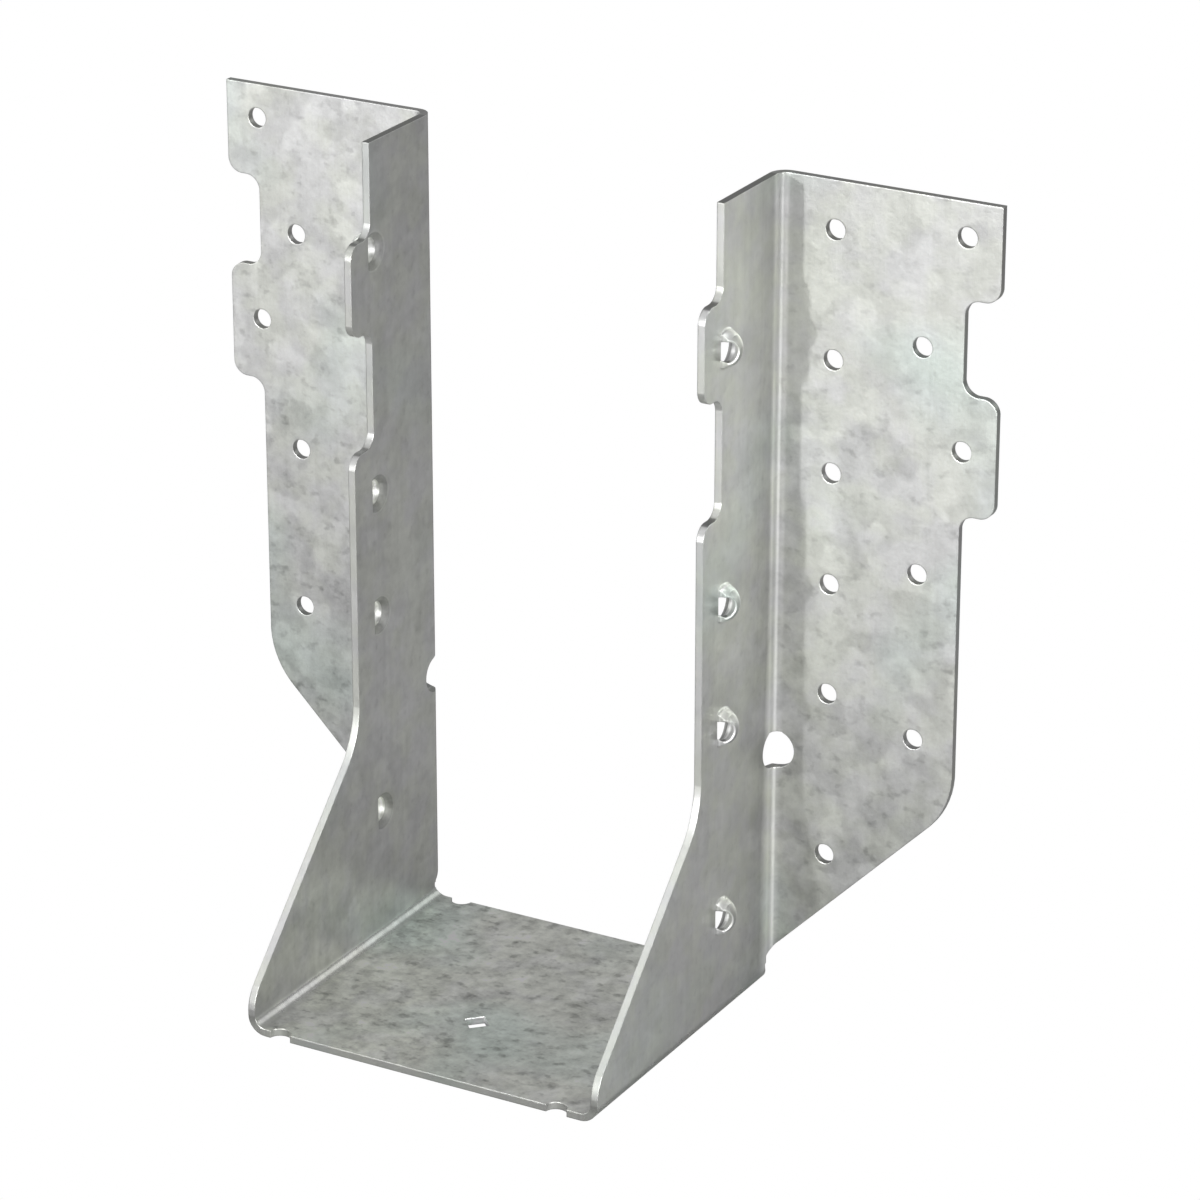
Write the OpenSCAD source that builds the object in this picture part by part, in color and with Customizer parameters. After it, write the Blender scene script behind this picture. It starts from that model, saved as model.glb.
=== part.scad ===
// Joist hanger: one piece of galvanised sheet, punched, domed and folded.
// A seat carries the joist, two side walls hold it, and two outturned flanges
// are nailed to the header. Each side wall has four lanced nail domes that aim
// a nail at 45 degrees through the joist and into the header.
// X runs across the joist, Y runs towards the header, Z is up.

/* [Sheet and overall size] */

// Sheet thickness, 16 gauge, zinc included (mm)
sheet_t = 1.6; // [1.2:0.1:2]
// Clear width between the side walls, for the joist (mm)
inside_w = 79.4; // [60:0.1:110]
// Height of the hanger (mm)
hanger_h = 178; // [168:1:200]
// Depth from the seat's front edge to the flanges' back faces (mm)
hanger_d = 75.7; // [68:0.1:84]
// Width over the two flanges (mm), added to the clear width
flange_spread = 99.8; // [96:0.1:110]

/* [Bends] */

// Inside radius of the bends between walls and flanges (mm)
flange_bend_r = 2; // [1.4:0.1:2.6]
// Inside radius of the bends between seat and walls (mm)
seat_bend_r = 2.4; // [1.4:0.1:3]

/* [Outline] */

// Height of the first band of the outline, down from the top (mm)
band_1 = 20; // [17:0.1:22]
// Height of the second band (mm)
band_2 = 19.9; // [17:0.1:22]
// Height of the third band (mm)
band_3 = 25.3; // [22:0.1:28]
// How far the nailing tabs stand out from the necks (mm)
tab_out = 7.55; // [6.9:0.05:8.5]
// Radius of the corners of the tabs and necks (mm)
tab_r = 3.3; // [2:0.1:3.4]
// Reach of the walls' upper front edges from the flanges' front faces (mm)
wall_reach = 24.05; // [22:0.05:24.5]
// Height where the walls' long diagonals would meet their front edges (mm)
wall_knee_z = 50.5; // [44:0.1:54]
// Radius of the curve into the walls' diagonals (mm)
wall_knee_r = 18; // [10:0.5:24]
// Radius of the walls' lower front corners (mm)
wall_toe_r = 8; // [2:0.5:9]
// Height where the flanges' outer edges turn into their diagonals (mm)
flange_knee_z = 48.35; // [44:0.1:52]
// Radius of the curve into the flanges' diagonals (mm)
flange_knee_r = 18.5; // [10:0.5:24]

/* [Seat] */

// Gap between the flanges' front faces and the seat's rear edge (mm)
seat_rear_gap = 1.4; // [1:0.1:2]
// Gap between the flanges' front faces and the walls' lowest rear corners (mm)
wall_rear_gap = 2.4; // [2:0.1:3]
// Radius of the half-round bend notches in the seat's edges (mm)
notch_r = 2.4; // [1.6:0.1:2.6]
// Distance of the bend notches' centres from the walls' inner faces (mm)
notch_inset = 7; // [6:0.1:10]
// Distance of the bend notches' centres outside the seat's edges (mm)
notch_set = 0.3; // [0:0.1:0.6]
// Sideways offset of the seat's punched features (mm)
seat_shift = -0.9; // [-1.5:0.1:1.5]
// Side of the diamond hole in the seat (mm)
diamond_side = 4.3; // [3:0.1:6]
// Reach of the diamond hole from the flanges' front faces (mm)
diamond_reach = 49.9; // [30:0.1:60]

/* [Nail holes] */

// Diameter of the nail holes (mm)
nail_hole_d = 4.3; // [3.8:0.1:4.8]
// Vertical pitch of the nail holes (mm)
nail_pitch = 24.1; // [22:0.1:24.5]
// Height of the lowest holes of the inner column (mm)
inner_low_z = 32.1; // [30:0.1:36]
// Distance of the inner column from the bend's centre (mm)
inner_column = 10.15; // [8:0.05:12]
// Distance between the inner and middle columns (mm)
column_gap = 19.6; // [18:0.1:20.5]
// Distance of the tab holes from the tabs' outer edges (mm)
tab_hole_inset = 7.45; // [6:0.05:8]
// Height of the lower tab holes above the tabs' middle (mm)
tab_hole_rise = 0.8; // [0:0.1:2]
// Distance of the upper tab holes from the top (mm)
tab_hole_top = 7.3; // [6:0.1:9]
// Distance of the inner column's top holes from the top (mm)
inner_top = 10.25; // [8:0.05:12]
// Radius of the relief holes in the bends (mm)
relief_r = 4.05; // [3:0.05:4.5]
// Height of the relief holes (mm)
relief_z = 53.5; // [50:0.1:57]
// Depth of the relief holes' centres inside the bends' tangent lines (mm)
relief_set = 0.7; // [0.4:0.1:1]

/* [Nail domes] */

// Outside radius of the nail domes (mm)
dome_r = 4.05; // [3.9:0.05:4.4]
// Depth of the domes' centres below the walls' outer faces (mm)
dome_sink = 0.65; // [0.4:0.05:0.9]
// Reach of the lance cuts from the flanges' front faces (mm)
lance_reach = 24.9; // [24.6:0.1:26]
// Thickness of the domes' stretched skin (mm)
skin_t = 1.2; // [0.9:0.05:1.5]
// Radius of the rounded rim of the hollow behind each dome (mm)
rim_r = 2.2; // [1.6:0.1:2.6]
// Distance of the domes' centres behind the lance cuts (mm)
dome_back = 2.1; // [1.6:0.1:2.4]
// Radius of the domes' nail openings (mm)
mouth_r = 2.15; // [1.9:0.05:2.3]
// Width of the chamfered lip round each nail opening (mm)
lip_w = 0.35; // [0.2:0.05:0.6]
// Radius of the blend round each dome's foot (mm)
foot_r = 0.6; // [0.4:0.1:1.2]
// Heights of the domes on the right wall (mm)
right_dome_z = [24.6, 66.9, 94, 147.9]; // [20:0.1:152]
// Heights of the domes on the left wall (mm)
left_dome_z = [30, 74.9, 102.1, 154.7]; // [20:0.1:156]

/* [Hidden] */

$fn = 48;

// Clearance that carries a cut through the sheet's faces
over = 1;
// Depth by which joined shapes run into each other
bite = 0.02;

wall_in = inside_w / 2;
wall_out = wall_in + sheet_t;
flange_y = hanger_d / 2 - sheet_t;
flange_edge = (inside_w + flange_spread) / 2;
neck_edge = flange_edge - tab_out;
front_reach = hanger_d - sheet_t;

bend_x = wall_out + flange_bend_r;
bend_out_r = flange_bend_r + sheet_t;
bend_stub = sheet_t / 2;
seat_out_r = seat_bend_r + sheet_t;
seat_half = wall_out - seat_out_r;

z1 = hanger_h - band_1;
z2 = z1 - band_2;
z3 = z2 - band_3;
tab_reach = wall_reach + tab_out;
diagonal_end_z = wall_knee_z - (front_reach - tab_reach);
flange_end_z = flange_knee_z - (neck_edge - bend_x);

// Height lost by the outline's 45 degree cut on its way round the bend's middle
bend_drop = 90 * (flange_bend_r + sheet_t / 2) * PI / 180;
// Height where the walls' rear edges step back from the bends
wall_step_z = flange_end_z - bend_drop - sheet_t / 4;

// Centre of the blend round a dome's foot, from the dome's centre
foot_rise = dome_sink + foot_r - bite;
foot_reach = sqrt(pow(dome_r + foot_r, 2) - pow(foot_rise, 2));

inner_x = bend_x + inner_column;
middle_x = inner_x + column_gap;
tab_x = flange_edge - tab_hole_inset;
inner_z0 = inner_low_z + 1.5 * nail_pitch;
quarter_pitch = nail_pitch / 4;

// The sliver between a corner of the given angle and the arc that rounds it,
// carried on past both edges. Added, it fills an inner corner; taken away, it
// rounds an outer one.
module corner_web(at, turn, angle, r) {
    reach = r / tan(angle / 2);
    translate(at)
        rotate(turn)
            difference() {
                polygon([
                    [-over / tan(angle / 2), -over],
                    [reach, -over],
                    [reach, r],
                    [reach * cos(angle) - over * sin(angle), reach * sin(angle) + over * cos(angle)]
                ]);
                translate([reach, r])
                    circle(r = r + bite);
            }
}

// Side view of a wall: Y to the right, Z up, flange face on the axis
module wall_outline() {
    difference() {
        union() {
            polygon([
                [over, hanger_h],
                [-wall_reach, hanger_h],
                [-wall_reach, z1],
                [-tab_reach, z1],
                [-tab_reach, z2],
                [-wall_reach, z2],
                [-wall_reach, z3],
                [-tab_reach, z3],
                [-tab_reach, wall_knee_z],
                [-front_reach, diagonal_end_z],
                [-front_reach, -over],
                [over, -over]
            ]);
            corner_web([-wall_reach, z1], 90, 90, tab_r);
            corner_web([-wall_reach, z2], 180, 90, tab_r);
            corner_web([-wall_reach, z3], 90, 90, tab_r);
            corner_web([-tab_reach, wall_knee_z], 90, 135, wall_knee_r);
        }
        corner_web([-tab_reach, z1], 270, 90, tab_r);
        corner_web([-tab_reach, z2], 0, 90, tab_r);
        corner_web([-tab_reach, z3], 270, 90, tab_r);
        corner_web([-front_reach, diagonal_end_z], 270, 135, wall_toe_r);
    }
}

// Front view of the right flange: X to the right, Z up
module flange_outline() {
    difference() {
        union() {
            polygon([
                [bend_x, hanger_h],
                [flange_edge, hanger_h],
                [flange_edge, z1],
                [neck_edge, z1],
                [neck_edge, z2],
                [flange_edge, z2],
                [flange_edge, z3],
                [neck_edge, z3],
                [neck_edge, flange_knee_z],
                [bend_x, flange_end_z]
            ]);
            corner_web([neck_edge, z1], 270, 90, tab_r);
            corner_web([neck_edge, z2], 0, 90, tab_r);
            corner_web([neck_edge, z3], 270, 90, tab_r);
        }
        corner_web([flange_edge, z1], 90, 90, tab_r);
        corner_web([flange_edge, z2], 180, 90, tab_r);
        corner_web([flange_edge, z3], 90, 90, tab_r);
        corner_web([neck_edge, flange_knee_z], 90, 135, flange_knee_r);
    }
}

// A quarter of a ring in the first quadrant, the section of a bend
module bend_section(inner_r, outer_r) {
    intersection() {
        difference() {
            circle(r = outer_r);
            circle(r = inner_r);
        }
        square(outer_r + over);
    }
}

// Half of the U-shaped section, bend and wall, X right and Z up
module channel_half_section() {
    translate([seat_half, seat_out_r])
        mirror([0, 1])
            bend_section(seat_bend_r, seat_out_r);
    translate([wall_in, seat_out_r])
        square([sheet_t, hanger_h - seat_out_r]);
}

module channel_section() {
    translate([-seat_half, 0])
        square([2 * seat_half, sheet_t]);
    channel_half_section();
    mirror([1, 0])
        channel_half_section();
}

// Seat, bends and walls, cut to the side outline
module channel() {
    difference() {
        intersection() {
            translate([0, flange_y, 0])
                rotate([90, 0, 0])
                    linear_extrude(height = front_reach + over)
                        channel_section();
            translate([-wall_out - over, flange_y, 0])
                rotate([90, 0, 90])
                    linear_extrude(height = 2 * wall_out + 2 * over)
                        wall_outline();
        }
        rear_cut();
    }
}

// The space behind the seat's rear edge and the walls' edges at the bends
module rear_cut() {
    translate([-wall_out - over, flange_y, 0])
        rotate([90, 0, 90])
            linear_extrude(height = 2 * wall_out + 2 * over)
                polygon([
                    [over, -over],
                    [-seat_rear_gap, -over],
                    [-seat_rear_gap, sheet_t],
                    [-wall_rear_gap, seat_out_r],
                    [-wall_rear_gap, wall_step_z],
                    [-flange_bend_r, wall_step_z],
                    [-flange_bend_r, hanger_h + over],
                    [over, hanger_h + over]
                ]);
}

// Plan of the bend between wall and flange, with short straight ends that run
// into both
module flange_bend_section() {
    bend_section(flange_bend_r, bend_out_r);
    translate([-bend_stub, flange_bend_r])
        square([bend_stub, sheet_t]);
    translate([flange_bend_r, -bend_stub])
        square([sheet_t, bend_stub]);
}

// Bend between the wall and the flange, its lower end cut on the slant
module flange_bend() {
    difference() {
        translate([bend_x, flange_y - flange_bend_r, 0])
            mirror([1, 0, 0])
                linear_extrude(height = hanger_h)
                    flange_bend_section();
        translate([bend_x, flange_y, flange_end_z])
            rotate([0, 0, 45])
                rotate([0, -atan(bend_drop / (bend_out_r - sheet_t / 2) / sqrt(2)), 0])
                    translate([-hanger_d, -hanger_d / 2, -hanger_d])
                        cube([2 * hanger_d, hanger_d, hanger_d]);
        below_flange();
    }
}

// The space under the flange's diagonal, next to the bend
module below_flange() {
    translate([bend_x, flange_y + sheet_t + over, flange_end_z])
        rotate([90, 0, 0])
            linear_extrude(height = sheet_t + 2 * over)
                polygon([
                    [0, 0],
                    [2 * bend_stub, 2 * bend_stub],
                    [2 * bend_stub, -2 * bend_stub],
                    [0, -2 * bend_stub]
                ]);
}

module flange_plate() {
    translate([0, flange_y + sheet_t, 0])
        rotate([90, 0, 0])
            linear_extrude(height = sheet_t)
                flange_outline();
}

// One round hole through the flange
module nail_hole(x, z) {
    translate([x, flange_y + sheet_t + over, z])
        rotate([90, 0, 0])
            cylinder(h = sheet_t + 2 * over, d = nail_hole_d);
}

module flange_holes() {
    nail_hole(inner_x, inner_low_z);
    for (step = [0:3])
        nail_hole(inner_x, inner_z0 + step * nail_pitch);
    nail_hole(inner_x, hanger_h - inner_top);
    nail_hole(middle_x, inner_z0 - quarter_pitch);
    nail_hole(middle_x, inner_z0 + nail_pitch + quarter_pitch);
    nail_hole(middle_x, inner_z0 + 3 * nail_pitch + quarter_pitch);
    nail_hole(tab_x, (z2 + z3) / 2 + tab_hole_rise);
    nail_hole(tab_x, hanger_h - tab_hole_top);
}

// Relief hole across the bend, square to the wall and square to the flange
module bend_relief() {
    translate([wall_in - over, flange_y - relief_set, relief_z])
        rotate([0, 90, 0])
            cylinder(h = sheet_t + flange_bend_r + over, r = relief_r);
    translate([wall_out + relief_set, flange_y + sheet_t + over, relief_z])
        rotate([90, 0, 0])
            cylinder(h = sheet_t + flange_bend_r + over, r = relief_r);
}

// Half-round notch through the seat's front or rear edge
module seat_notch(x, y) {
    translate([x, y, -over])
        cylinder(h = sheet_t + 2 * over, r = notch_r);
}

module seat_features() {
    for (side = [-1, 1]) {
        seat_notch(seat_shift + side * (wall_in - notch_inset), -hanger_d / 2 - notch_set);
        seat_notch(seat_shift + side * (wall_in - notch_inset), flange_y - seat_rear_gap + notch_set);
    }
    translate([seat_shift, flange_y - diamond_reach, sheet_t / 2])
        rotate([0, 0, 45])
            cube([diamond_side, diamond_side, sheet_t + 2 * over], center = true);
}

// The space behind the lance cut of a dome on the right wall, from the given x outwards
module behind_lance(x, z) {
    translate([x, flange_y - lance_reach, z - 2 * dome_r])
        cube([3 * dome_r, 4 * dome_r, 4 * dome_r]);
}

// Placed at the centre of a dome on the right wall
module at_dome(z) {
    translate([wall_out - dome_sink, flange_y - lance_reach + dome_back, z])
        children();
}

// The pressed-out bubble of metal
module dome_bubble(z) {
    intersection() {
        at_dome(z)
            sphere(r = dome_r);
        behind_lance(wall_in, z);
    }
}

// The blend round the foot of a dome
module dome_foot(z) {
    touch = dome_r / (dome_r + foot_r);
    intersection() {
        at_dome(z)
            rotate([0, 90, 0])
                rotate_extrude()
                    difference() {
                        polygon([
                            [dome_r / 2, dome_sink - bite],
                            [foot_reach, dome_sink - bite],
                            [foot_reach * touch, foot_rise * touch],
                            [dome_r / 2, foot_rise * touch]
                        ]);
                        translate([foot_reach, foot_rise])
                            circle(r = foot_r + bite);
                    }
        behind_lance(wall_in, z);
    }
}

// Half section of the hollow behind a dome, from its skin to its rounded rim
module dome_hollow_section() {
    hollow_r = dome_r - skin_t;
    rim_rise = dome_sink - sheet_t + rim_r - bite;
    rim_reach = sqrt(pow(hollow_r + rim_r - bite, 2) - pow(rim_rise, 2));
    intersection() {
        circle(r = hollow_r);
        translate([0, -hollow_r])
            square([hollow_r, 2 * hollow_r]);
    }
    difference() {
        polygon([
            [0, -sheet_t - over],
            [rim_reach, -sheet_t - over],
            [rim_reach, rim_rise],
            [0, 0]
        ]);
        translate([rim_reach, rim_rise])
            circle(r = rim_r);
    }
}

// The hollow behind a dome, open along the lance cut
module dome_hollow(z) {
    intersection() {
        at_dome(z)
            rotate([0, 90, 0])
                rotate_extrude()
                    dome_hollow_section();
        behind_lance(wall_in - dome_r, z);
    }
}

// The 45 degree nail opening with the lip at its mouth, behind the lance cut
module dome_mouth(z) {
    lip_z = sqrt(pow(dome_r, 2) - pow(mouth_r + lip_w, 2)) - lip_w;
    intersection() {
        at_dome(z)
            rotate([90, 0, 45])
                union() {
                    cylinder(h = 3 * dome_r, r = mouth_r);
                    translate([0, 0, lip_z])
                        cylinder(h = 2 * lip_w, r1 = mouth_r - lip_w, r2 = mouth_r + 3 * lip_w);
                }
        behind_lance(wall_in - dome_r, z);
    }
}

// The bend and flange on the right, with the metal of the domes
module side_metal(dome_z) {
    flange_bend();
    flange_plate();
    for (z = dome_z) {
        dome_bubble(z);
        dome_foot(z);
    }
}

// Everything punched out on the right
module side_cuts(dome_z) {
    for (z = dome_z) {
        dome_hollow(z);
        dome_mouth(z);
    }
    flange_holes();
    bend_relief();
}

module hanger() {
    color([0.72, 0.74, 0.75])
        difference() {
            union() {
                channel();
                side_metal(right_dome_z);
                mirror([1, 0, 0])
                    side_metal(left_dome_z);
            }
            side_cuts(right_dome_z);
            mirror([1, 0, 0])
                side_cuts(left_dome_z);
            seat_features();
        }
}

hanger();
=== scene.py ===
import bpy
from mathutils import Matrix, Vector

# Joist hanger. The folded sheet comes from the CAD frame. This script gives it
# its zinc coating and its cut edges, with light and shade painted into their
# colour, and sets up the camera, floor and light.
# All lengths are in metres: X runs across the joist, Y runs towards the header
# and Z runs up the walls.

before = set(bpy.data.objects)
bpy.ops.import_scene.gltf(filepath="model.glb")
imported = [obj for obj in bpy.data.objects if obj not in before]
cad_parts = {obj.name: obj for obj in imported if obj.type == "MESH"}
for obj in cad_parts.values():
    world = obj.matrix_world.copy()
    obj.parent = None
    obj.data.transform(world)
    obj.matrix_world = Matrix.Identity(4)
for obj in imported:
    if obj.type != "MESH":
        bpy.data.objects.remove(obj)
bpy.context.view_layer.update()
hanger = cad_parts["hanger"]

# --- camera ---------------------------------------------------------------
CAMERA_AT = Vector((0.477114, -0.811128, 0.475752))
CAMERA_FORWARD = Vector((-0.45404, 0.80664, -0.37840))
LENS_MM = 151.05
SENSOR_MM = 36.0
NEAREST = 0.01


def make_camera():
    data = bpy.data.cameras.new("camera")
    data.lens = LENS_MM
    data.sensor_width = SENSOR_MM
    data.sensor_fit = "HORIZONTAL"
    data.dof.use_dof = False
    data.clip_start = NEAREST
    camera = bpy.data.objects.new("camera", data)
    bpy.context.scene.collection.objects.link(camera)
    camera.location = CAMERA_AT
    camera.rotation_euler = CAMERA_FORWARD.to_track_quat("-Z", "Y").to_euler()
    bpy.context.scene.camera = camera


make_camera()

# --- helpers for node trees -------------------------------------------------


def link(tree, a, b):
    tree.links.new(a, b)


def node(tree, kind, **values):
    n = tree.nodes.new(kind)
    for key, value in values.items():
        setattr(n, key, value)
    return n


def new_group(name, inputs, outputs):
    """An empty node group with its named sockets, its input and its output."""
    tree = bpy.data.node_groups.new(name, "ShaderNodeTree")
    for direction, sockets in (("INPUT", inputs), ("OUTPUT", outputs)):
        for title, kind in sockets:
            tree.interface.new_socket(title, in_out=direction,
                                      socket_type="NodeSocket" + kind)
    return tree, node(tree, "NodeGroupInput"), node(tree, "NodeGroupOutput")


def math_node(tree, operation, a, b=None):
    n = node(tree, "ShaderNodeMath", operation=operation)
    for i, value in enumerate((a, b)):
        if value is None:
            continue
        if isinstance(value, (int, float)):
            n.inputs[i].default_value = value
        else:
            link(tree, value, n.inputs[i])
    return n.outputs[0]


def add(tree, *values):
    total = values[0]
    for value in values[1:]:
        total = math_node(tree, "ADD", total, value)
    return total


def times(tree, *values):
    product = values[0]
    for value in values[1:]:
        product = math_node(tree, "MULTIPLY", product, value)
    return product


def size_of(tree, value):
    return math_node(tree, "ABSOLUTE", value)


def without(tree, mask):
    return math_node(tree, "SUBTRACT", 1.0, mask)


def above(tree, value, limit):
    return math_node(tree, "GREATER_THAN", value, limit)


def below(tree, value, limit):
    return math_node(tree, "LESS_THAN", value, limit)


def away_from(tree, value, centre):
    return size_of(tree, math_node(tree, "SUBTRACT", value, centre))


def ramp(tree, value, span, first, last):
    """first up to the span's start, last past its end, a straight run between"""
    n = node(tree, "ShaderNodeMapRange", clamp=True)
    n.inputs["From Min"].default_value = span[0]
    n.inputs["From Max"].default_value = span[1]
    n.inputs["To Min"].default_value = first
    n.inputs["To Max"].default_value = last
    link(tree, value, n.inputs["Value"])
    return n.outputs["Result"]


def blend(tree, mask, first, last):
    """a plain value that goes from first to last as the mask goes from 0 to 1"""
    return ramp(tree, mask, (0.0, 1.0), first, last)


def swing(tree, pattern, span, depth):
    """a pattern's middle span turned into plus or minus the depth"""
    return ramp(tree, pattern, span, -depth, depth)


def strip(tree, value, rise, fall):
    """1 between the rise and the fall, and 0 outside them"""
    return times(tree, ramp(tree, value, rise, 0.0, 1.0), ramp(tree, value, fall, 1.0, 0.0))


def choose(tree, mask, off, on):
    """off where the mask is 0 and on where it is 1"""
    return add(tree, times(tree, mask, math_node(tree, "SUBTRACT", on, off)), off)


def split_axes(tree, vector):
    n = node(tree, "ShaderNodeSeparateXYZ")
    link(tree, vector, n.inputs["Vector"])
    return n.outputs["X"], n.outputs["Y"], n.outputs["Z"]


def scaled(tree, vector, factor):
    n = node(tree, "ShaderNodeVectorMath", operation="SCALE")
    link(tree, vector, n.inputs[0])
    link(tree, factor, n.inputs["Scale"])
    return n.outputs["Vector"]


def stretched(tree, vector, scales):
    n = node(tree, "ShaderNodeMapping")
    n.inputs["Scale"].default_value = scales
    link(tree, vector, n.inputs["Vector"])
    return n.outputs["Vector"]


def noise(tree, vector, grain, output="Fac"):
    """A cloudy pattern. The grain is its scale, its detail and its roughness."""
    n = node(tree, "ShaderNodeTexNoise")
    for title, value in zip(("Scale", "Detail", "Roughness"), grain):
        n.inputs[title].default_value = value
    link(tree, vector, n.inputs["Vector"])
    return n.outputs[output]


def mix_colour(tree, factor, a, b):
    n = node(tree, "ShaderNodeMix", data_type="RGBA")
    link(tree, factor, n.inputs["Factor"])
    for name, value in (("A", a), ("B", b)):
        socket = [i for i in n.inputs if i.name == name and i.type == "RGBA"][0]
        if isinstance(value, tuple):
            socket.default_value = value
        else:
            link(tree, value, socket)
    return [o for o in n.outputs if o.type == "RGBA"][0]


def crystals(tree, at, scale, softness, drift, wander):
    """Soft-edged patches with wandering borders, each of one random value."""
    moved = node(tree, "ShaderNodeVectorMath", operation="MULTIPLY_ADD")
    link(tree, noise(tree, at, drift, "Color"), moved.inputs[0])
    moved.inputs[1].default_value = (wander, wander, wander)
    link(tree, at, moved.inputs[2])
    cells = node(tree, "ShaderNodeTexVoronoi", feature="SMOOTH_F1")
    cells.inputs["Scale"].default_value = scale
    cells.inputs["Smoothness"].default_value = softness
    link(tree, moved.outputs["Vector"], cells.inputs["Vector"])
    parts = node(tree, "ShaderNodeSeparateColor")
    link(tree, cells.outputs["Color"], parts.inputs["Color"])
    return parts.outputs["Red"]


# --- places on the sheet ------------------------------------------------------
# Each pair is the start and the end of a fade: across is the distance from the
# middle plane, y runs towards the header and z is the height.
SEAT_Z = (0.0018, 0.0036)
WALL_INNER_ACROSS = (0.0396, 0.0397)
WALL_OUTER_ACROSS = (0.0412, 0.0413)
PAST_WALL_ACROSS = (0.0414, 0.0429)
FLANGE_ACROSS = (0.0433, 0.0448)
SEAT_BEND_ACROSS = (0.0368, 0.0383)
SEAT_BEND_Z = (0.0030, 0.0045)
CALM_Z = (0.120, 0.160)

# outer side of the walls: painted shade towards the flanges, a painted reflection
# of the flange's shadow band, and painted light above mid-height
WALL_SHADE_Y = (0.0190, 0.0330)
WALL_LIGHT_Z = (0.080, 0.115)
WALL_LIGHT_TOP_Z = (0.132, 0.150)

# inner side of the walls: painted shade, darker towards the foot, less so at the back
FOOT_Z = (0.050, 0.0)
FOOT_Y = (-0.005, 0.025)

# flanges: painted shade low down, least of it in the lamp-cast shadow band beside
# the bend. The left one has painted light that grows with height. The right one
# has a lighter patch beside the band, and painted shade at its top.
LOW_Z = (0.090, 0.040)
BAND_ACROSS = (0.0440, 0.0500)
LEFT_LEVEL_Z = (0.085, 0.120)
RIGHT_TOP_Z = (0.150, 0.175)
LIFT_Z = 0.106
LIFT_SPAN = (0.0, 0.024)
LIFT_START_ACROSS = (0.0466, 0.0481)
LIFT_END_ACROSS = (0.0520, 0.0580)

# nail domes: painted shade in the hollows within the wall's thickness, painted
# light on the caps outside it
HOLLOW_START_ACROSS = (0.0398, 0.0399)
HOLLOW_END_ACROSS = (0.0411, 0.0412)
CAP_ACROSS = (0.0415, 0.0420)
CAP_END_Y = 0.0330

# flange bends: a painted highlight as a bright line, and a softer painted line
# where the wall's flat ends
RIDGE_START_ACROSS = (0.04145, 0.04175)
RIDGE_END_ACROSS = (0.04190, 0.04220)
SOFT_RIDGE_Y = 0.0342
SOFT_RIDGE_WIDTH_Z = (0.030, 0.090)
SOFT_RIDGE_WIDE = 0.0034
SOFT_RIDGE_THIN = 0.0013
SOFT_RIDGE_Z = (0.120, 0.145)

# --- tones of the coating, and painted light and shade ------------------------
# The tone multiplies the metal's colour. A strength scales the patterns at its
# place. The rest are steps up or down from the plain tone, most of them painted
# light and shade, and shares of them.
PLAIN_TONE = 1.02
WALL_STRENGTH = 0.38
LEFT_STRENGTH = 1.35
RIGHT_STRENGTH_LOW = 1.25
RIGHT_STRENGTH_HIGH = 0.75
CUT_SPAN = (0.0, 0.2)
CUT_STRENGTH = 0.2
SEAT_BEND_STRENGTH = 0.35
WALL_LIGHT_FRONT = 0.07
WALL_SHADE_BACK = -0.25
WALL_LIGHT_MIDDLE = 0.10
WALL_LIGHT_TOP = -0.03
FOOT_HIGH = -0.055
FOOT_LOW = -0.30
FOOT_BACK_SHARE = 0.5
HOLLOW_SHADE = -0.34
CAP_LIGHT = 0.26
RIDGE_HIGHLIGHT = 0.38
LOW_SOFT_HIGHLIGHT = 0.74
HIGH_SOFT_HIGHLIGHT = 0.38
LOW_SHADE = -0.10
LOW_BAND_SHARE = 0.3
LOW_PAST_BAND_SHARE = 1.15
LEFT_LOW = -0.08
LEFT_HIGH = 0.06
RIGHT_TOP = -0.14
LIFT_TONE = 0.26

# --- patterns of the coating --------------------------------------------------
# Each grain is a scale, a detail and a roughness. Each span is the part of the
# pattern's values that is used, and each depth is how far the tone swings.
CLOUD_GRAIN = (95.0, 3.0, 0.55)
MOTTLE_GRAIN = (330.0, 4.0, 0.62)
FLECK_GRAIN = (480.0, 2.0, 0.5)
FLECK_STRETCH = (0.75, 1.0, 1.0)
LINES_GRAIN = (1.0, 2.0, 0.6)
LINES_STRETCH = (900.0, 900.0, 3.0)
STREAK_GRAIN = (1.0, 2.0, 0.5)
STREAK_STRETCH = (420.0, 420.0, 60.0)
FINE_GRAIN = (1400.0, 2.0, 0.5)
WASH_GRAIN = (26.0, 1.5, 0.5)
TINT_GRAIN = (120.0, 2.0, 0.5)
SPANGLE_SCALE = 210.0
SPANGLE_SOFTNESS = 0.5
SPANGLE_DRIFT = (220.0, 2.0, 0.5)
SPANGLE_WANDER = 0.0035

MIDDLE = (0.3, 0.7)
MOTTLE_SPAN = (0.25, 0.75)
SEAT_MOTTLE = 0.31
SIDE_MOTTLE = 0.17
SEAT_FLECK_SPAN = (0.30, 0.44)
SIDE_FLECK_SPAN = (0.27, 0.42)
SEAT_FLECK = -0.32
SIDE_FLECK = -0.18
SEAT_LIFT = 0.205
SIDE_LIFT = 0.02
CLOUD_DEPTH = 0.08
SPANGLE_DEPTH = 0.12
STREAK_DEPTH = 0.025
LINES_DEPTH = 0.02

# colours: lilac grey that turns warm in patches and towards teal in a few
LILAC = (0.620, 0.622, 0.619, 1.0)
WARM = (0.632, 0.643, 0.601, 1.0)
TEAL = (0.575, 0.636, 0.600, 1.0)
TINT_SPAN = (0.40, 0.60)
MOST_WARM = 0.9
SEAT_WARMTH = 0.5
WASH_SPAN = (0.50, 0.66)
MOST_TEAL = 0.8
WALL_TEAL = 0.4

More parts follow.
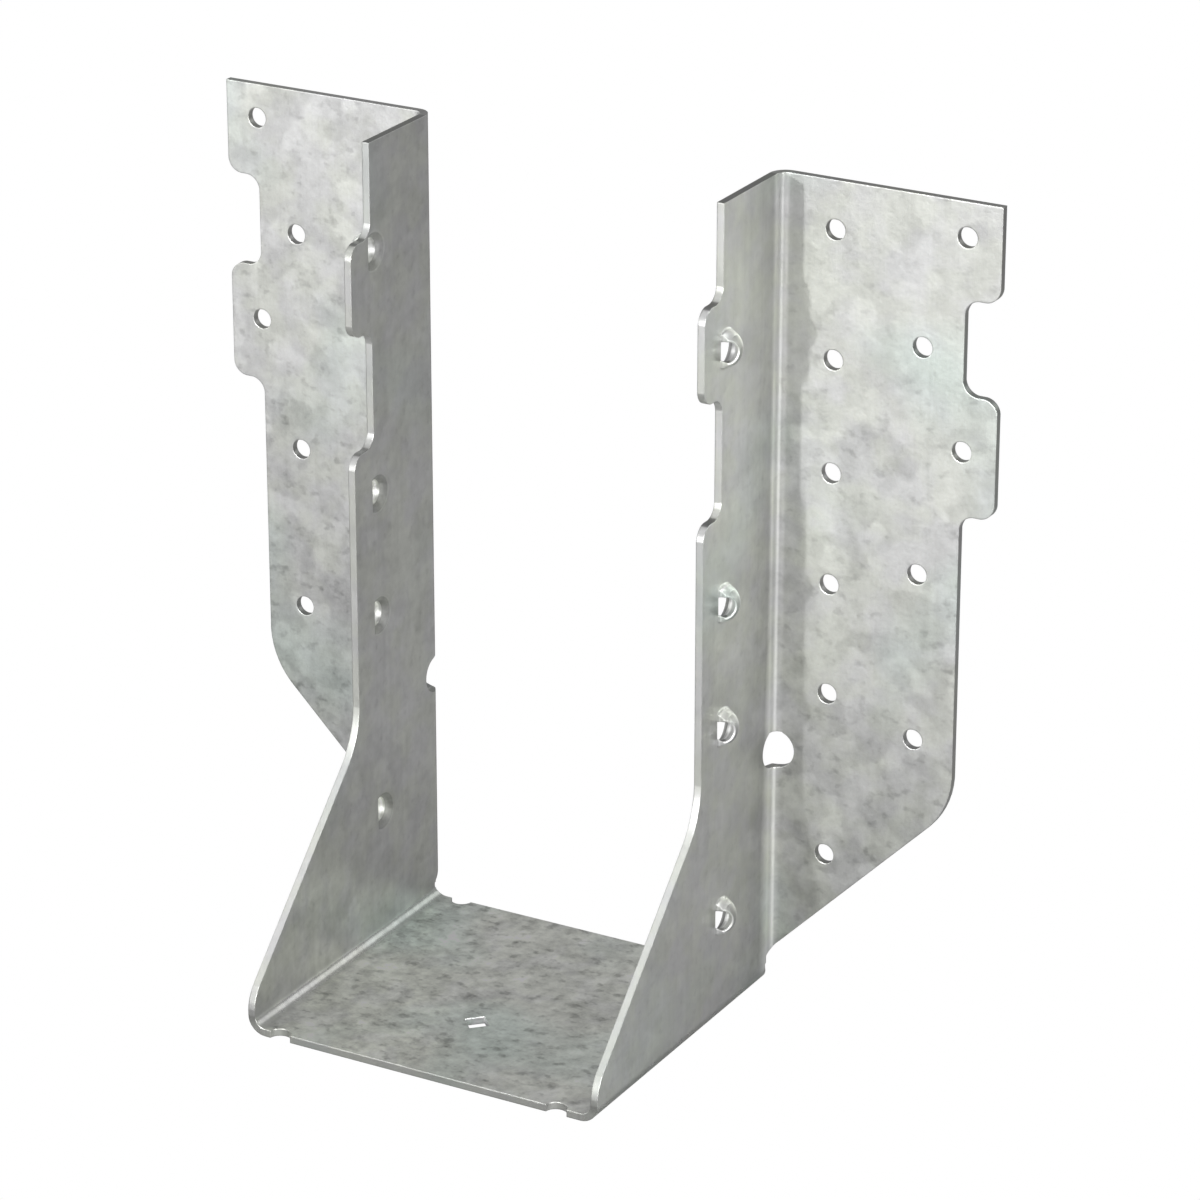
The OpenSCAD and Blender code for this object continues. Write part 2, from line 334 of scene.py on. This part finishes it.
# roughness: smoother where the mottle is light, and its changes by place
ROUGH_MOTTLE = (0.42, 0.34)
ROUGH_CLOUD = -0.03
SEAT_BEND_GLOSS = 0.7
HOLLOW_DULLING = 2.1
CAP_DULLING = 1.25

# relief: each pattern's share of the height
CLOUD_SHARE = 0.5
MOTTLE_SHARE = 0.3
LINES_SHARE = 0.12
FINE_SHARE = 0.08


def sheet_places(tree, at):
    """Where a point lies on the sheet, and masks for the sheet's parts."""
    x, y, z = split_axes(tree, at)
    across = size_of(tree, x)
    seat = ramp(tree, z, SEAT_Z, 1.0, 0.0)
    off_seat = without(tree, seat)
    wall = times(tree, strip(tree, across, WALL_INNER_ACROSS, PAST_WALL_ACROSS), off_seat)
    outside = ramp(tree, across, WALL_OUTER_ACROSS, 0.0, 1.0)
    seat_bend = times(tree, ramp(tree, across, SEAT_BEND_ACROSS, 0.0, 1.0),
                      ramp(tree, z, SEAT_BEND_Z, 1.0, 0.0))
    return {"y": y, "z": z, "across": across, "right": above(tree, x, 0.0),
            "seat": seat, "off_seat": off_seat, "wall": wall, "seat_bend": seat_bend,
            "wall_outside": times(tree, wall, outside),
            "wall_inside": times(tree, wall, without(tree, outside))}


def pattern_strengths(tree, place, cut):
    """How strong the patterns are at a place, and how free of cut faces it is."""
    clean = times(tree, ramp(tree, cut, CUT_SPAN, 1.0, CUT_STRENGTH),
                  blend(tree, place["seat_bend"], 1.0, SEAT_BEND_STRENGTH))
    side = choose(tree, place["right"], LEFT_STRENGTH,
                  ramp(tree, place["z"], CALM_Z, RIGHT_STRENGTH_LOW, RIGHT_STRENGTH_HIGH))
    return times(tree, blend(tree, place["wall"], 1.0, WALL_STRENGTH), side, clean), clean


def wall_tone(tree, place):
    y, z = place["y"], place["z"]
    # painted shade towards the flanges and painted light above mid-height
    painted_wall_light_and_shade = times(tree, place["wall_outside"],
                 add(tree, ramp(tree, y, WALL_SHADE_Y, WALL_LIGHT_FRONT, WALL_SHADE_BACK),
                     ramp(tree, z, WALL_LIGHT_Z, 0.0, WALL_LIGHT_MIDDLE),
                     ramp(tree, z, WALL_LIGHT_TOP_Z, 0.0, WALL_LIGHT_TOP)))
    # painted shade on the inner wall towards the seat
    foot_shade = times(tree, place["wall_inside"], ramp(tree, z, FOOT_Z, FOOT_HIGH, FOOT_LOW),
                 ramp(tree, y, FOOT_Y, 1.0, FOOT_BACK_SHARE))
    # painted highlight: the softer second line of the bend's highlight, on the wall
    half_width = ramp(tree, z, SOFT_RIDGE_WIDTH_Z, SOFT_RIDGE_WIDE, SOFT_RIDGE_THIN)
    from_ridge = math_node(tree, "DIVIDE", away_from(tree, y, SOFT_RIDGE_Y), half_width)
    soft_bend_highlight = times(tree, place["wall_outside"], blend(tree, from_ridge, 1.0, 0.0),
                       ramp(tree, z, SOFT_RIDGE_Z, LOW_SOFT_HIGHLIGHT, HIGH_SOFT_HIGHLIGHT))
    return add(tree, painted_wall_light_and_shade, foot_shade, soft_bend_highlight)


def flange_tone(tree, place):
    z, across, right = place["z"], place["across"], place["right"]
    # painted highlight along the flange bend, fading out with height
    bend_highlight = times(tree, strip(tree, across, RIDGE_START_ACROSS, RIDGE_END_ACROSS),
                  ramp(tree, z, CALM_Z, RIDGE_HIGHLIGHT, 0.0))
    # painted shade low down on the flanges, less of it inside the shadow band
    low = times(tree, ramp(tree, across, PAST_WALL_ACROSS, 0.0, 1.0),
                ramp(tree, z, LOW_Z, 0.0, LOW_SHADE),
                ramp(tree, across, BAND_ACROSS, LOW_BAND_SHARE, LOW_PAST_BAND_SHARE))
    # painted light growing with height on the left flange, painted shade at the top of the
    # right one
    light_and_shade_by_height = times(tree, ramp(tree, across, FLANGE_ACROSS, 0.0, 1.0),
                      choose(tree, right, ramp(tree, z, LEFT_LEVEL_Z, LEFT_LOW, LEFT_HIGH),
                             ramp(tree, z, RIGHT_TOP_Z, 0.0, RIGHT_TOP)))
    lift = times(tree, right,
                 ramp(tree, away_from(tree, z, LIFT_Z), LIFT_SPAN, LIFT_TONE, 0.0),
                 strip(tree, across, LIFT_START_ACROSS, LIFT_END_ACROSS))
    return add(tree, bend_highlight, low, light_and_shade_by_height, lift)


def dome_tones(tree, place, clean):
    """The painted shade in the domes' hollows, and the painted light on their caps."""
    across = place["across"]
    hollow_shade = times(tree, ramp(tree, across, HOLLOW_START_ACROSS, 0.0, HOLLOW_SHADE),
                   ramp(tree, across, HOLLOW_END_ACROSS, 1.0, 0.0), clean, place["off_seat"])
    cap_light = times(tree, ramp(tree, across, CAP_ACROSS, 0.0, CAP_LIGHT),
                below(tree, place["y"], CAP_END_Y))
    return hollow_shade, cap_light


def pattern_tone(tree, place, strength, mottle, cloud, lines, fleck, streak, spangle):
    on_seat = add(tree, swing(tree, mottle, MOTTLE_SPAN, SEAT_MOTTLE),
                  ramp(tree, fleck, SEAT_FLECK_SPAN, SEAT_FLECK, 0.0), SEAT_LIFT)
    on_sides = add(tree, swing(tree, mottle, MOTTLE_SPAN, SIDE_MOTTLE),
                   ramp(tree, fleck, SIDE_FLECK_SPAN, SIDE_FLECK, 0.0), SIDE_LIFT)
    patches = add(tree, times(tree, on_seat, place["seat"]),
                  times(tree, on_sides, place["off_seat"]),
                  swing(tree, cloud, MIDDLE, CLOUD_DEPTH),
                  swing(tree, spangle, (0.0, 1.0), SPANGLE_DEPTH))
    return add(tree, times(tree, patches, strength),
               times(tree, place["wall"], swing(tree, streak, MIDDLE, STREAK_DEPTH)),
               swing(tree, lines, MIDDLE, LINES_DEPTH))


def coating_hue(tree, place, tint, wash):
    warmth = add(tree, ramp(tree, tint, TINT_SPAN, 0.0, MOST_WARM),
                 times(tree, place["seat"], SEAT_WARMTH))
    green = times(tree, ramp(tree, wash, WASH_SPAN, 0.0, MOST_TEAL),
                  blend(tree, place["wall"], 1.0, WALL_TEAL))
    return mix_colour(tree, green, mix_colour(tree, warmth, LILAC, WARM), TEAL)


def coating_roughness(tree, place, mottle, cloud, hollow_shade, cap_light):
    return times(tree, add(tree, ramp(tree, mottle, MIDDLE, *ROUGH_MOTTLE),
                           swing(tree, cloud, MIDDLE, ROUGH_CLOUD)),
                 blend(tree, place["seat_bend"], 1.0, SEAT_BEND_GLOSS),
                 ramp(tree, hollow_shade, (HOLLOW_SHADE, 0.0), HOLLOW_DULLING, 1.0),
                 ramp(tree, cap_light, (0.0, CAP_LIGHT), 1.0, CAP_DULLING))


def zinc_and_painted_light_group():
    """Zinc on rolled sheet: soft clouds, crystal patches, small dark flecks and
    fine drawing lines, strong on the seat and the flanges and calm on the walls."""
    tree, start, end = new_group("zinc_coating_and_painted_light",
                                 (("Position", "Vector"), ("Cut", "Float")),
                                 (("Colour", "Color"), ("Roughness", "Float"),
                                  ("Height", "Float")))
    at = start.outputs["Position"]
    place = sheet_places(tree, at)
    strength, clean = pattern_strengths(tree, place, start.outputs["Cut"])
    hollow_shade, cap_light = dome_tones(tree, place, clean)

    cloud = noise(tree, at, CLOUD_GRAIN)
    mottle = noise(tree, at, MOTTLE_GRAIN)
    fine = noise(tree, at, FINE_GRAIN)
    wash = noise(tree, at, WASH_GRAIN)
    tint = noise(tree, at, TINT_GRAIN)
    fleck = noise(tree, stretched(tree, at, FLECK_STRETCH), FLECK_GRAIN)
    lines = noise(tree, stretched(tree, at, LINES_STRETCH), LINES_GRAIN)
    streak = noise(tree, stretched(tree, at, STREAK_STRETCH), STREAK_GRAIN)
    spangle = crystals(tree, at, SPANGLE_SCALE, SPANGLE_SOFTNESS, SPANGLE_DRIFT, SPANGLE_WANDER)

    patterns = pattern_tone(tree, place, strength, mottle, cloud, lines, fleck, streak, spangle)
    # the tone adds painted light and shade on the walls, flanges and domes to the patterns
    tone = add(tree, patterns, PLAIN_TONE, wall_tone(tree, place), flange_tone(tree, place),
               hollow_shade, cap_light)
    hue = coating_hue(tree, place, tint, wash)
    link(tree, scaled(tree, hue, tone), end.inputs["Colour"])
    rough = coating_roughness(tree, place, mottle, cloud, hollow_shade, cap_light)
    link(tree, rough, end.inputs["Roughness"])
    height = add(tree, times(tree, cloud, CLOUD_SHARE), times(tree, mottle, MOTTLE_SHARE),
                 times(tree, lines, LINES_SHARE), times(tree, fine, FINE_SHARE))
    link(tree, height, end.inputs["Height"])
    return tree


# --- cut faces ----------------------------------------------------------------
# Punched and sheared faces carry no flecks. They are the faces that stand square
# to the sheet in each of its parts. Their tone is painted light and shade: the mask
# is over 0 where such a face gets painted shade, darker than the rolled sheet, and
# under 0 where it gets a painted highlight, lighter than the sheet.
BEND_FROM_Y = 0.03425
SEAT_END_ACROSS = 0.0373
LOW_END_Z = 0.0040
WALL_END_ACROSS = 0.0415
TOE_Z = (0.0074, 0.0098)
DIAGONAL_Z = (0.0098, 0.100)
DIAMOND_ACROSS = 0.0060

EDGE_ON = (0.1, 0.35)
SLOPING = (0.3, 0.6)
LEVEL = (0.88, 0.96)
BEND_TURN = (0.65, 0.9)
FRONT_TURN = (0.9, 0.98)
CORNER_TURN = (0.8, 0.9)

# steps of painted shade (over 0) and painted highlight (under 0) for each kind of cut face
UPRIGHT_CUT = 0.2
TOE_CUT = 0.28
DIAGONAL_LOW = -0.62
DIAGONAL_HIGH = 0.15
TOE_STEP = 1.3
LEVEL_STEP = 1.2
FLANGE_CUT = 0.65
FLANGE_BEND_CUT = 0.6
SEAT_BEND_CUT = 0.5
SEAT_CUT = 0.2
SEAT_FRONT_STEP = 0.45
DIAMOND_STEP = -1.2


def cut_group():
    tree, start, end = new_group("cut_faces",
                                 (("Position", "Vector"), ("Facing", "Vector")),
                                 (("Mask", "Float"), ("Wall Edge", "Float")))
    x, y, z = split_axes(tree, start.outputs["Position"])
    across = size_of(tree, x)
    facing = node(tree, "ShaderNodeVectorMath", operation="ABSOLUTE")
    link(tree, start.outputs["Facing"], facing.inputs[0])
    facing_x, facing_y, facing_z = split_axes(tree, facing.outputs["Vector"])
    raised = above(tree, z, LOW_END_Z)

    upright = ramp(tree, z, TOE_Z, TOE_CUT, UPRIGHT_CUT)
    slant = add(tree, ramp(tree, z, DIAGONAL_Z, DIAGONAL_LOW, DIAGONAL_HIGH),
                ramp(tree, z, TOE_Z, TOE_STEP, 0.0),
                ramp(tree, facing_z, LEVEL, 0.0, LEVEL_STEP))
    wall_edge = ramp(tree, facing_x, EDGE_ON, 1.0, 0.0)
    wall = times(tree, wall_edge,
                 choose(tree, ramp(tree, facing_z, SLOPING, 0.0, 1.0), upright, slant))
    flange_bend = ramp(tree, facing_z, BEND_TURN, 0.0, FLANGE_BEND_CUT)
    flange = ramp(tree, facing_y, EDGE_ON, FLANGE_CUT, 0.0)
    high = choose(tree, above(tree, y, BEND_FROM_Y), wall, flange_bend)
    high = choose(tree, above(tree, across, FLANGE_ACROSS[0]), high, flange)

    diamond = times(tree, ramp(tree, facing_y, CORNER_TURN, DIAMOND_STEP, 0.0),
                    below(tree, across, DIAMOND_ACROSS))
    seat = add(tree, times(tree, ramp(tree, facing_z, EDGE_ON, 1.0, 0.0),
                           add(tree, diamond, SEAT_CUT)),
               ramp(tree, facing_y, FRONT_TURN, 0.0, SEAT_FRONT_STEP))
    seat_bend = ramp(tree, facing_y, BEND_TURN, 0.0, SEAT_BEND_CUT)
    low = choose(tree, above(tree, across, SEAT_END_ACROSS), seat, seat_bend)

    link(tree, choose(tree, raised, low, high), end.inputs["Mask"])
    on_wall = times(tree, below(tree, across, WALL_END_ACROSS), raised)
    link(tree, times(tree, wall_edge, on_wall), end.inputs["Wall Edge"])
    return tree


# --- zinc steel ---------------------------------------------------------------
LIGHTEST_CUT_HIGHLIGHT = 1.58
DARKEST_CUT_SHADE = 0.42
RELIEF_SPAN = (0.0, 0.5)
CUT_RELIEF = 0.3
EDGE_EASE = 0.00034
EDGE_SAMPLES = 8
RELIEF_STRENGTH = 0.3
RELIEF_DEPTH = 0.0005


def zinc_material():
    material = bpy.data.materials.new("zinc_steel")
    material.use_nodes = True
    tree = material.node_tree
    shader = tree.nodes["Principled BSDF"]
    shader.inputs["Metallic"].default_value = 1.0

    coordinates = node(tree, "ShaderNodeTexCoord")
    cut = node(tree, "ShaderNodeGroup", node_tree=cut_group())
    link(tree, coordinates.outputs["Object"], cut.inputs["Position"])
    link(tree, coordinates.outputs["Normal"], cut.inputs["Facing"])
    mask = cut.outputs["Mask"]
    edge = math_node(tree, "MAXIMUM", size_of(tree, mask), cut.outputs["Wall Edge"])

    coating = node(tree, "ShaderNodeGroup", node_tree=zinc_and_painted_light_group())
    link(tree, coordinates.outputs["Object"], coating.inputs["Position"])
    link(tree, edge, coating.inputs["Cut"])
    # the cut faces' painted shade and painted highlights scale the coating's colour
    colour = scaled(tree, coating.outputs["Colour"],
                    ramp(tree, mask, (-1.0, 1.0), LIGHTEST_CUT_HIGHLIGHT, DARKEST_CUT_SHADE))
    link(tree, colour, shader.inputs["Base Color"])
    link(tree, coating.outputs["Roughness"], shader.inputs["Roughness"])

    eased = node(tree, "ShaderNodeBevel", samples=EDGE_SAMPLES)
    eased.inputs["Radius"].default_value = EDGE_EASE
    bump = node(tree, "ShaderNodeBump")
    bump.inputs["Strength"].default_value = RELIEF_STRENGTH
    bump.inputs["Distance"].default_value = RELIEF_DEPTH
    relief = times(tree, coating.outputs["Height"],
                   ramp(tree, edge, RELIEF_SPAN, 1.0, CUT_RELIEF))
    link(tree, relief, bump.inputs["Height"])
    link(tree, eased.outputs["Normal"], bump.inputs["Normal"])
    link(tree, bump.outputs["Normal"], shader.inputs["Normal"])
    return material


hanger.material_slots[0].material = zinc_material()

# --- floor and light ----------------------------------------------------------
FLOOR_SIDE = 8.0
FLOOR_Z = -0.0005
FLOOR_GREY = (0.45, 0.45, 0.45, 1.0)
FLOOR_ROUGHNESS = 0.9
WHITE = (1.0, 1.0, 1.0, 1.0)
HANGER_MIDDLE = Vector((0.0, 0.0, 0.09))
WORLD_LEVEL = 0.36

# name, direction from the hanger's middle, distance, width, height, watts
LIGHTS = (
    ("key", (-0.19, -1.0, 0.15), 1.6, 0.045, 0.045, 9.6),
    ("front", (0.1, -1.0, 0.3), 1.8, 1.5, 1.0, 17.5),
    ("overhead", (-0.45, -0.38, 0.81), 1.4, 0.6, 0.6, 1.6),
    ("top", (0.0, 0.0, 1.0), 1.4, 0.8, 0.8, 5.2),
    ("left", (-1.0, -0.3, 0.3), 1.6, 0.8, 0.8, 2.6),
    ("front_left", (-0.7, -0.7, 0.2), 1.6, 0.4, 0.8, 2.0),
    ("front_right", (0.8, -0.45, 0.12), 1.6, 0.25, 1.0, 12.4),
    ("back", (0.55, 0.8, 0.43), 1.6, 0.8, 0.8, 1.2),
)


def floor_material():
    """Pale grey to the light, and plain white to the camera."""
    material = bpy.data.materials.new("floor")
    material.use_nodes = True
    tree = material.node_tree
    shader = tree.nodes["Principled BSDF"]
    shader.inputs["Base Color"].default_value = FLOOR_GREY
    shader.inputs["Roughness"].default_value = FLOOR_ROUGHNESS
    glow = node(tree, "ShaderNodeEmission")
    glow.inputs["Color"].default_value = WHITE
    mix = node(tree, "ShaderNodeMixShader")
    path = node(tree, "ShaderNodeLightPath")
    link(tree, path.outputs["Is Camera Ray"], mix.inputs["Fac"])
    link(tree, shader.outputs["BSDF"], mix.inputs[1])
    link(tree, glow.outputs["Emission"], mix.inputs[2])
    link(tree, mix.outputs["Shader"], tree.nodes["Material Output"].inputs["Surface"])
    return material


def make_floor():
    bpy.ops.object.select_all(action="DESELECT")
    bpy.ops.mesh.primitive_plane_add(size=FLOOR_SIDE, location=(0.0, 0.0, FLOOR_Z))
    floor = bpy.context.active_object
    floor.name = "floor"
    floor.data.materials.append(floor_material())


def soft_light(name, towards, distance, width, height, watts):
    """An area light in the given direction from the hanger's middle, facing it."""
    data = bpy.data.lights.new(name, "AREA")
    data.shape = "RECTANGLE"
    data.size = width
    data.size_y = height
    data.energy = watts
    light = bpy.data.objects.new(name, data)
    bpy.context.scene.collection.objects.link(light)
    direction = Vector(towards).normalized()
    light.location = HANGER_MIDDLE + direction * distance
    light.rotation_euler = (-direction).to_track_quat("-Z", "Y").to_euler()


def make_world():
    world = bpy.data.worlds.new("surroundings")
    world.use_nodes = True
    background = world.node_tree.nodes["Background"]
    background.inputs["Color"].default_value = WHITE
    background.inputs["Strength"].default_value = WORLD_LEVEL
    bpy.context.scene.world = world


make_floor()
for light_values in LIGHTS:
    soft_light(*light_values)
make_world()
bpy.context.scene.view_settings.view_transform = "Standard"
